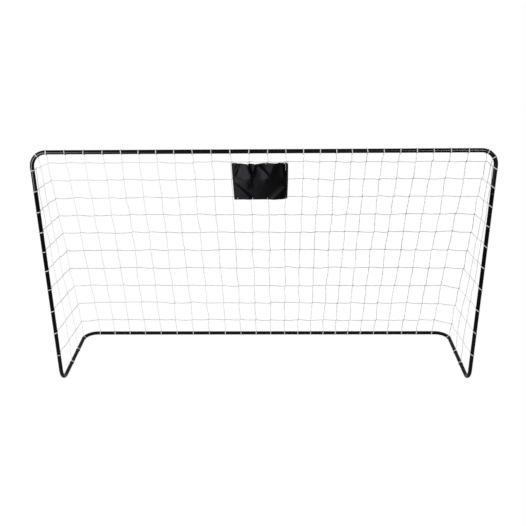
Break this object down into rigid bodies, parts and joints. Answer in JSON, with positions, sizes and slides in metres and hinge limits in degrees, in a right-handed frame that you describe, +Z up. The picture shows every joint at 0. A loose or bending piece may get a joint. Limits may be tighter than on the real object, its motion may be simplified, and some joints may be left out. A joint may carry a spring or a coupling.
{
  "type": "football goal",
  "caption": "Portable football goal: wide loop of plug-together black steel tube with spring buttons, sloping knotted net on cord loops and a plain cloth panel.",
  "frame": {"origin": "middle of the goal's footprint on the floor, half way between the mouth and the rear bar", "axes": "+X to the right seen from the front, +Y from the open mouth towards the rear bar, +Z up"},
  "size_m": [2.405, 0.6068, 1.4034],
  "materials": {
    "tube": "satin black powder coat",
    "button": "zinc plated",
    "spring_steel": "plain spring steel",
    "net_cord": "white braided cord",
    "cloth": "shiny woven nylon"
  },
  "bodies": {
    "root": {"crossbar_left": "tube", "crossbar_right": "tube", "top_corner_left": "tube", "top_corner_right": "tube", "post_left": "tube", "post_right": "tube", "foot_left": "tube", "foot_right": "tube", "rear_corner_left": "tube", "rear_corner_right": "tube", "rear_bar_left": "tube", "rear_bar_right": "tube", "spring_crossbar_left": "spring_steel", "spring_crossbar_right": "spring_steel", "spring_crossbar_middle": "spring_steel", "spring_post_left_top": "spring_steel", "spring_post_right_top": "spring_steel", "spring_post_left_bottom": "spring_steel", "spring_post_right_bottom": "spring_steel", "spring_side_left": "spring_steel", "spring_side_right": "spring_steel", "spring_rear_left": "spring_steel", "spring_rear_right": "spring_steel", "spring_rear_middle": "spring_steel", "net_back": "net_cord", "net_side_left": "net_cord", "net_side_right": "net_cord", "crossbar_loops": "net_cord", "rear_bar_loops": "net_cord", "post_loops_left": "net_cord", "post_loops_right": "net_cord", "side_loops_left": "net_cord", "side_loops_right": "net_cord", "cloth_panel": "cloth"},
    "button_crossbar_left_body": {"button_crossbar_left": "button"},
    "button_crossbar_right_body": {"button_crossbar_right": "button"},
    "button_crossbar_middle_body": {"button_crossbar_middle": "button"},
    "button_post_left_top_body": {"button_post_left_top": "button"},
    "button_post_right_top_body": {"button_post_right_top": "button"},
    "button_post_left_bottom_body": {"button_post_left_bottom": "button"},
    "button_post_right_bottom_body": {"button_post_right_bottom": "button"},
    "button_side_left_body": {"button_side_left": "button"},
    "button_side_right_body": {"button_side_right": "button"},
    "button_rear_left_body": {"button_rear_left": "button"},
    "button_rear_right_body": {"button_rear_right": "button"},
    "button_rear_middle_body": {"button_rear_middle": "button"}
  },
  "joints": [
    {"name": "crossbar_left_press", "type": "slide", "parent": "root", "child": "button_crossbar_left_body", "axis": [0, 1, 0], "range_m": [0, 0.0038], "stiffness_N_per_m": 900, "springref_m": -0.003, "deforming": ["spring_crossbar_left"]},
    {"name": "crossbar_right_press", "type": "slide", "parent": "root", "child": "button_crossbar_right_body", "axis": [0, -1, 0], "range_m": [0, 0.0038], "stiffness_N_per_m": 900, "springref_m": -0.003, "deforming": ["spring_crossbar_right"]},
    {"name": "crossbar_middle_press", "type": "slide", "parent": "root", "child": "button_crossbar_middle_body", "axis": [0, -1, 0], "range_m": [0, 0.0038], "stiffness_N_per_m": 900, "springref_m": -0.003, "deforming": ["spring_crossbar_middle"]},
    {"name": "post_left_top_press", "type": "slide", "parent": "root", "child": "button_post_left_top_body", "axis": [0, -1, 0], "range_m": [0, 0.0038], "stiffness_N_per_m": 900, "springref_m": -0.003, "deforming": ["spring_post_left_top"]},
    {"name": "post_right_top_press", "type": "slide", "parent": "root", "child": "button_post_right_top_body", "axis": [0, 1, 0], "range_m": [0, 0.0038], "stiffness_N_per_m": 900, "springref_m": -0.003, "deforming": ["spring_post_right_top"]},
    {"name": "post_left_bottom_press", "type": "slide", "parent": "root", "child": "button_post_left_bottom_body", "axis": [0, -1, 0], "range_m": [0, 0.0038], "stiffness_N_per_m": 900, "springref_m": -0.003, "deforming": ["spring_post_left_bottom"]},
    {"name": "post_right_bottom_press", "type": "slide", "parent": "root", "child": "button_post_right_bottom_body", "axis": [0, -1, 0], "range_m": [0, 0.0038], "stiffness_N_per_m": 900, "springref_m": -0.003, "deforming": ["spring_post_right_bottom"]},
    {"name": "side_left_press", "type": "slide", "parent": "root", "child": "button_side_left_body", "axis": [1, 0, 0], "range_m": [0, 0.0038], "stiffness_N_per_m": 900, "springref_m": -0.003, "deforming": ["spring_side_left"]},
    {"name": "side_right_press", "type": "slide", "parent": "root", "child": "button_side_right_body", "axis": [-1, 0, 0], "range_m": [0, 0.0038], "stiffness_N_per_m": 900, "springref_m": -0.003, "deforming": ["spring_side_right"]},
    {"name": "rear_left_press", "type": "slide", "parent": "root", "child": "button_rear_left_body", "axis": [0, 1, 0], "range_m": [0, 0.0038], "stiffness_N_per_m": 900, "springref_m": -0.003, "deforming": ["spring_rear_left"]},
    {"name": "rear_right_press", "type": "slide", "parent": "root", "child": "button_rear_right_body", "axis": [0, 1, 0], "range_m": [0, 0.0038], "stiffness_N_per_m": 900, "springref_m": -0.003, "deforming": ["spring_rear_right"]},
    {"name": "rear_middle_press", "type": "slide", "parent": "root", "child": "button_rear_middle_body", "axis": [0, 1, 0], "range_m": [0, 0.0038], "stiffness_N_per_m": 900, "springref_m": -0.003, "deforming": ["spring_rear_middle"]}
  ]
}
